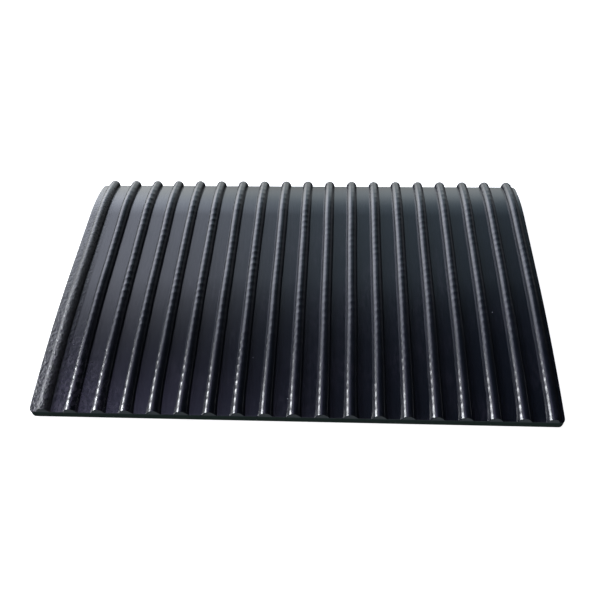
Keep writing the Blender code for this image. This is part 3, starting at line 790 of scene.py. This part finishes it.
class Nodes:
    """The node tree of a new material, or of the owner given, with short ways to add to it."""

    def __init__(self, name, owner=None):
        self.owner = owner or bpy.data.materials.new(name)
        self.owner.use_nodes = True
        self.tree = self.owner.node_tree

    def add(self, kind, inputs=None, **settings):
        """A node with settings, and with inputs that are values or other nodes' outputs."""
        node = self.tree.nodes.new(kind)
        for key, value in settings.items():
            setattr(node, key, value)
        for key, value in (inputs or {}).items():
            self.put(node.inputs[key], value)
        return node

    def put(self, socket, value):
        """Give an input a plain value, or another node's output."""
        if isinstance(value, bpy.types.NodeSocket):
            self.tree.links.new(value, socket)
        else:
            socket.default_value = value

    def place(self, scale=(1, 1, 1)):
        """Coordinates in metres on the piece, scaled."""
        found = self.add("ShaderNodeTexCoord")
        mapping = self.add("ShaderNodeMapping", {"Vector": found.outputs["Object"], "Scale": scale})
        return mapping.outputs[0]

    def noise(self, scale, detail=4.0, rough=0.55, place=(1, 1, 1)):
        """Noise with its scale in cells to the metre."""
        inputs = {"Vector": self.place(place), "Scale": scale, "Detail": detail, "Roughness": rough}
        return self.add("ShaderNodeTexNoise", inputs).outputs["Fac"]

    def ramp(self, factor, low, high, first=0.0, last=1.0):
        """A factor between low and high, stretched to go from first to last."""
        inputs = {"Value": factor, "From Min": low, "From Max": high, "To Min": first, "To Max": last}
        return self.add("ShaderNodeMapRange", inputs).outputs[0]

    def maths(self, operation, a, b):
        """Two factors put together."""
        return self.add("ShaderNodeMath", {0: a, 1: b}, operation=operation).outputs[0]

    def times(self, a, b):
        """Product of two factors."""
        return self.maths("MULTIPLY", a, b)

    def larger(self, a, b):
        """The larger of two factors."""
        return self.maths("MAXIMUM", a, b)

    def mix(self, factor, one, other):
        """A colour between two."""
        node = self.add("ShaderNodeMix", data_type="RGBA")
        self.put(node.inputs["Factor"], factor)
        for socket, colour in zip([i for i in node.inputs if i.type == "RGBA"], (one, other)):
            self.put(socket, colour if isinstance(colour, bpy.types.NodeSocket) else (*colour, 1))
        return [o for o in node.outputs if o.type == "RGBA"][0]

    def bump(self, height, distance, below=None):
        """A bump that reaches this many metres, on top of another."""
        inputs = {"Height": height, "Distance": distance, "Strength": 1.0}
        if below is not None:
            inputs["Normal"] = below
        return self.add("ShaderNodeBump", inputs).outputs[0]

    def finish(self, colour, roughness, normal=None, **plain):
        """The material, with any other plain inputs of its shader by name."""
        inputs = self.tree.nodes["Principled BSDF"].inputs
        self.put(inputs["Base Color"], colour if isinstance(colour, bpy.types.NodeSocket) else (*colour, 1))
        self.put(inputs["Roughness"], roughness)
        if normal is not None:
            self.put(inputs["Normal"], normal)
        for key, value in plain.items():
            inputs[key.replace("_", " ")].default_value = value
        return self.owner


def top_rubber():
    """Semi-gloss black rubber, dusty by its front left corner and worn along its first rib."""
    nodes = Nodes("semi_gloss_black_rubber")
    parts = nodes.add("ShaderNodeSeparateXYZ", {"Vector": nodes.place()})
    x, y = parts.outputs["X"], parts.outputs["Y"]
    black, dust, speck_grey, faded_grey = ((0.0034, 0.0048, 0.0085), (0.044, 0.037, 0.054),
                                           (0.30, 0.31, 0.34), (0.062, 0.062, 0.059))

    # Masks for the top by the corner, for the first rib, and for the way from the middle to the front
    side = -WIDTH / 2
    on_top = nodes.ramp(x, side + 0.0002, side + 0.0008)
    near = nodes.ramp(nodes.maths("ADD", nodes.times(y, 0.8), x), -0.26, -0.38)
    near = nodes.times(near, on_top)
    first_rib = nodes.times(nodes.ramp(x, -0.228, -0.236), on_top)
    middle_y, front_y = 0.08, -0.10
    front = nodes.ramp(y, middle_y, front_y, 0.15, 1.0)
    pale = nodes.ramp(y, middle_y, front_y, 1.0, 0.4)

    # Dust in fine patches, and a few random specks
    fine = nodes.ramp(nodes.noise(300, 3, 0.5, (1, 0.5, 1)), 0.42, 0.62)
    patches = nodes.ramp(nodes.noise(22, 4), 0.44, 0.64)
    dusty = nodes.times(fine, nodes.larger(nodes.times(patches, 0.15), near))
    cells = nodes.add("ShaderNodeTexVoronoi", {"Vector": nodes.place(), "Scale": 190.0, "Randomness": 1.0})
    chosen = nodes.add("ShaderNodeSeparateColor", {"Color": cells.outputs["Color"]}).outputs["Red"]
    size = nodes.ramp(nodes.maths("ADD", nodes.times(near, 0.04), chosen), 0.988, 1.0, 0.0, 0.09)
    speck = nodes.maths("LESS_THAN", cells.outputs["Distance"], size)
    mottled = nodes.ramp(nodes.noise(360, 2, 0.5), 0.36, 0.60, 0.35, 1.0)
    faded = nodes.times(first_rib, mottled)

    colour = nodes.mix(dusty, black, dust)
    colour = nodes.mix(speck, colour, speck_grey)
    colour = nodes.mix(nodes.times(faded, pale), colour, faded_grey)
    worn = nodes.larger(nodes.times(faded, front), nodes.times(dusty, 0.4))
    roughness = nodes.ramp(worn, 0, 1, 0.23, 0.55)

    lines = nodes.noise(650, 3, 0.6, (1, 0.03, 1))
    grain = nodes.noise(1900, 4, 0.6)
    pitted = nodes.larger(nodes.times(near, 0.3), nodes.times(first_rib, front))
    pits = nodes.times(nodes.noise(330, 2, 0.5), nodes.ramp(pitted, 0, 1, 0.006, 1.0))
    normal = nodes.bump(grain, 0.000018, nodes.bump(lines, 0.00004))
    return nodes.finish(colour, roughness, nodes.bump(pits, 0.0016, normal))


def cut_rubber():
    """Matt rubber where the mat was cut to length, a little greener in the sheet, and painted paler in the
    ribs as painted light where their rounded ends catch more light.
    """
    nodes = Nodes("cut_black_rubber")
    drag = nodes.noise(1500, 4, 0.6, (1, 1, 0.2))
    grain = nodes.noise(3000, 3, 0.6)
    height = nodes.add("ShaderNodeSeparateXYZ", {"Vector": nodes.place()}).outputs["Z"]
    # Painted light: the rib ends' cut faces get a paler colour than the sheet's, standing in for the light
    # that the rounded rib ends catch.
    rib = nodes.ramp(height, SHEET - 0.0009, SHEET + 0.0004)
    sheet_colour = nodes.mix(drag, (0.009, 0.019, 0.017), (0.015, 0.029, 0.026))
    rib_end_painted_light_colour = nodes.mix(drag, (0.050, 0.060, 0.068), (0.080, 0.092, 0.104))
    normal = nodes.bump(grain, 0.00006, nodes.bump(drag, 0.00008))
    return nodes.finish(nodes.mix(rib, sheet_colour, rib_end_painted_light_colour), nodes.ramp(drag, 0, 1, 0.6, 0.75), normal,
                        Specular_IOR_Level=0.2)


def base_rubber():
    """Matt rubber with the print of the cloth that it was pressed on."""
    nodes = Nodes("cloth_printed_rubber")
    waves = {"Vector": nodes.place(), "Scale": 210.0, "Distortion": 0.6, "Detail": 1.0}
    warp, weft = [nodes.add("ShaderNodeTexWave", waves, bands_direction=way).outputs["Fac"] for way in "XY"]
    patches = nodes.noise(30, 5)
    colour = nodes.mix(patches, (0.010, 0.010, 0.012), (0.022, 0.022, 0.024))
    normal = nodes.bump(nodes.noise(1800, 4), 0.00005, nodes.bump(nodes.times(warp, weft), 0.00012))
    return nodes.finish(colour, nodes.ramp(patches, 0.3, 0.7, 0.62, 0.78), normal)


def foam_cells():
    """Pale closed-cell foam."""
    nodes = Nodes("closed_cell_foam")
    cells = nodes.add("ShaderNodeTexVoronoi", {"Vector": nodes.place(), "Scale": 1300.0}).outputs["Distance"]
    patches = nodes.noise(40, 5)
    colour = nodes.mix(patches, (0.50, 0.51, 0.53), (0.60, 0.61, 0.63))
    return nodes.finish(colour, nodes.ramp(cells, 0, 0.7, 0.95, 0.75), nodes.bump(cells, 0.0002))


def crinkled_foil():
    """Bright foil with fine rolling lines and soft creases."""
    nodes = Nodes("crinkled_foil")
    rolled = nodes.noise(1800, 3, 0.6, (0.03, 1, 1))
    creases = nodes.noise(60, 6, 0.6)
    normal = nodes.bump(creases, 0.0006, nodes.bump(rolled, 0.00002))
    colour = nodes.mix(creases, (0.74, 0.75, 0.76), (0.86, 0.87, 0.88))
    return nodes.finish(colour, nodes.ramp(rolled, 0.3, 0.7, 0.22, 0.36), normal, Metallic=1.0)


def moulded(name, dark, light, smoothest, roughest, grain, height):
    """A soft or moulded plastic: patchy colour, with a fine grain."""
    nodes = Nodes(name)
    patches = nodes.noise(90, 5)
    fine = nodes.noise(grain, 4, 0.6)
    roughness = nodes.ramp(nodes.noise(300, 3), 0.3, 0.7, smoothest, roughest)
    return nodes.finish(nodes.mix(patches, dark, light), roughness, nodes.bump(fine, height))


def drawn_metal(name, dark, light, stretch=(1, 0.08, 1)):
    """A metal with drawing lines and slight tarnish."""
    nodes = Nodes(name)
    lines = nodes.noise(2600, 3, 0.6, stretch)
    tarnish = nodes.ramp(nodes.noise(220, 5), 0.35, 0.7)
    roughness = nodes.ramp(tarnish, 0, 1, 0.22, 0.42)
    return nodes.finish(nodes.mix(tarnish, light, dark), roughness, nodes.bump(lines, 0.00002), Metallic=1.0)


# ---------------- floor, light and camera

def heading(azimuth, elevation):
    """Unit vector, with azimuth in degrees from the back (+y) towards the left (-x)."""
    azimuth, elevation = math.radians(azimuth), math.radians(elevation)
    level = math.cos(elevation)
    return Vector((-math.sin(azimuth) * level, math.cos(azimuth) * level, math.sin(elevation)))


def make_floor():
    """A plain white ground that curves up far away. It neither lights the mat nor is mirrored in it."""
    reach, curve, top, sides = 5, 2, 9, 96
    turns = [math.radians(step * 5) for step in range(19)]
    side = [(reach + curve * math.sin(turn), curve - curve * math.cos(turn)) for turn in turns]
    side.append((reach + curve, top))
    bm = bmesh.new()
    rings = []
    for radius, height in side:
        rings.append([bm.verts.new((radius * a, radius * b, height)) for a, b in circle(1, sides)])
    bm.faces.new(rings[0])
    for one, other in zip(rings, rings[1:]):
        bridge(bm, one, other)
    bmesh.ops.reverse_faces(bm, faces=bm.faces[1:])
    floor = put_in_scene("floor", bm)
    floor.data.shade_smooth()
    floor.location.z = -0.0002  # just clear of the mat's underside
    floor.visible_glossy = False
    floor.visible_diffuse = False
    floor.visible_shadow = False
    white = Nodes("pale_floor").finish((0.8, 0.8, 0.8), 0.9, Emission_Color=(1, 1, 1, 1),
                                       Emission_Strength=0.93)
    floor.data.materials.append(white)


# Soft panels round the room: azimuth, elevation, reach in degrees, colour
PANELS = (
    (30, 8, 26, (2.55, 2.65, 2.7)),  # window at the back, to the left
    (32, 30, 26, (3.3, 3.45, 4.1)),  # the same, higher up
    (0, 5, 26, (1.0, 1.05, 1.05)),  # wall behind
    (0, 28, 26, (0.6, 0.8, 0.95)),
    (-16, 6, 18, (0.35, 0.40, 0.42)),  # wall behind, to the right
    (-32, 5, 26, (0.30, 0.33, 0.36)),
    (80, 64, 26, (1.0, 0.95, 1.6)),  # high on the left
    (180, 45, 50, (0.2, 0.2, 0.22)),  # fill from the camera's side
    (180, -5, 50, (1.1, 1.15, 1.15)),  # low in front
)
ROOM = 0.02  # grey of the rest of the room

# Softboxes on the left: name, azimuth, elevation, reach in degrees, radiance, colour
SOFTBOXES = (
    ("low_softbox", 73, 12, 9, 33, (0.93, 0.95, 1.0)),
    ("middle_softbox", 73, 28, 9, 27, (0.93, 0.95, 1.0)),
    ("side_softbox", 78, 34, 6, 34, (0.93, 1.0, 1.0)),
)

CAMERA_PLACE = (0.04566, -0.5766, 0.6209)
CAMERA_YAW, CAMERA_PITCH, CAMERA_ROLL = 0.081, 0.832, -0.047  # radians
CAMERA_LENS = 46.26  # millimetres, on a 36 mm sensor


def make_world():
    """A dim room with soft bright panels."""
    world = bpy.data.worlds.new("studio")
    bpy.context.scene.world = world
    nodes = Nodes("studio", world)
    place = nodes.add("ShaderNodeTexCoord").outputs["Generated"]
    total = (ROOM, ROOM, ROOM)
    for azimuth, elevation, reach, colour in PANELS:
        toward = nodes.add("ShaderNodeVectorMath", {0: place, 1: heading(azimuth, elevation)},
                           operation="DOT_PRODUCT")
        rim = math.cos(math.radians(reach))
        inputs = {"Value": toward.outputs["Value"], "From Min": rim, "From Max": 1.0}
        fade = nodes.add("ShaderNodeMapRange", inputs, interpolation_type="SMOOTHSTEP")
        glow = nodes.add("ShaderNodeVectorMath", operation="MULTIPLY_ADD")
        for socket, value in zip(glow.inputs, (fade.outputs[0], colour, total)):
            nodes.put(socket, value)
        total = glow.outputs[0]
    nodes.put(nodes.tree.nodes["Background"].inputs["Color"], total)


def add_softbox(name, azimuth, elevation, reach, radiance, colour):
    """A far, round softbox that spans twice its reach in degrees."""
    data = bpy.data.lights.new(name, "SUN")
    data.angle = math.radians(2 * reach)
    data.energy = radiance * math.pi * math.sin(math.radians(reach)) ** 2
    data.color = colour
    light = bpy.data.objects.new(name, data)
    light.rotation_mode = "QUATERNION"
    light.rotation_quaternion = heading(azimuth, elevation).to_track_quat("Z", "Y")
    bpy.context.scene.collection.objects.link(light)


def make_camera():
    """The camera stands in front of the mat and looks down at it, with a slight roll."""
    data = bpy.data.cameras.new("camera")
    data.sensor_width = 36
    data.lens = CAMERA_LENS
    data.clip_start, data.clip_end = 0.05, 50
    camera = bpy.data.objects.new("camera", data)
    level = Matrix.Rotation(CAMERA_YAW, 3, "Z") @ Matrix.Rotation(-CAMERA_PITCH, 3, "X")
    right, forward, up = level.transposed()
    across = math.cos(CAMERA_ROLL) * right + math.sin(CAMERA_ROLL) * up
    upward = math.cos(CAMERA_ROLL) * up - math.sin(CAMERA_ROLL) * right
    axes = Matrix((across, upward, -forward)).transposed()
    camera.matrix_world = Matrix.Translation(CAMERA_PLACE) @ axes.to_4x4()
    bpy.context.scene.collection.objects.link(camera)
    bpy.context.scene.camera = camera


# ---------------- the scene

make_camera()
make_floor()
make_world()
for softbox in SOFTBOXES:
    add_softbox(*softbox)
bpy.context.scene.view_settings.view_transform = "Standard"

# moulded() takes two colours, the least and most roughness, and the grain's scale and height
make_ribbed_cover(top_rubber(), cut_rubber())
make_base_cover(base_rubber())
make_core(foam_cells(), crinkled_foil())
tin = drawn_metal("tinned_copper_look", (0.52, 0.51, 0.48), (0.80, 0.79, 0.75))
make_heating_cord(moulded("silicone_jacket", (0.56, 0.54, 0.49), (0.66, 0.64, 0.59),
                          0.38, 0.52, 1600, 0.00003), tin)
make_joints(tin, moulded("shrink_tube_look", (0.014, 0.014, 0.015), (0.026, 0.026, 0.027),
                         0.38, 0.5, 1500, 0.00003))
wire_looks = []
for name, dark, light in (("brown_insulation_look", (0.20, 0.075, 0.03), (0.28, 0.115, 0.05)),
                          ("blue_insulation_look", (0.035, 0.10, 0.31), (0.06, 0.14, 0.38)),
                          ("green_insulation_look", (0.07, 0.30, 0.06), (0.12, 0.38, 0.09)),
                          ("yellow_stripe_look", (0.72, 0.58, 0.06), (0.80, 0.66, 0.09))):
    wire_looks.append(moulded(name, dark, light, 0.3, 0.42, 1800, 0.00001))
make_leads(*wire_looks, drawn_metal("copper_strands", (0.55, 0.28, 0.17), (0.85, 0.50, 0.36)))
make_crimps(tin)
make_cutout(drawn_metal("plated_steel", (0.50, 0.50, 0.49), (0.74, 0.74, 0.73), (0.08, 1, 1)),
            moulded("amber_film", (0.66, 0.44, 0.12), (0.80, 0.58, 0.22), 0.12, 0.25, 900, 0.00001))
make_earth_connection(tin, drawn_metal("bright_brass", (0.50, 0.36, 0.14), (0.80, 0.62, 0.28), (1, 1, 0.1)))
make_cord_gland(moulded("gland_rubber_look", (0.010, 0.010, 0.012), (0.020, 0.020, 0.022),
                        0.42, 0.6, 1400, 0.00004))
make_junction_box(moulded("grained_nylon", (0.040, 0.040, 0.044), (0.060, 0.060, 0.066),
                          0.45, 0.6, 1200, 0.00006))
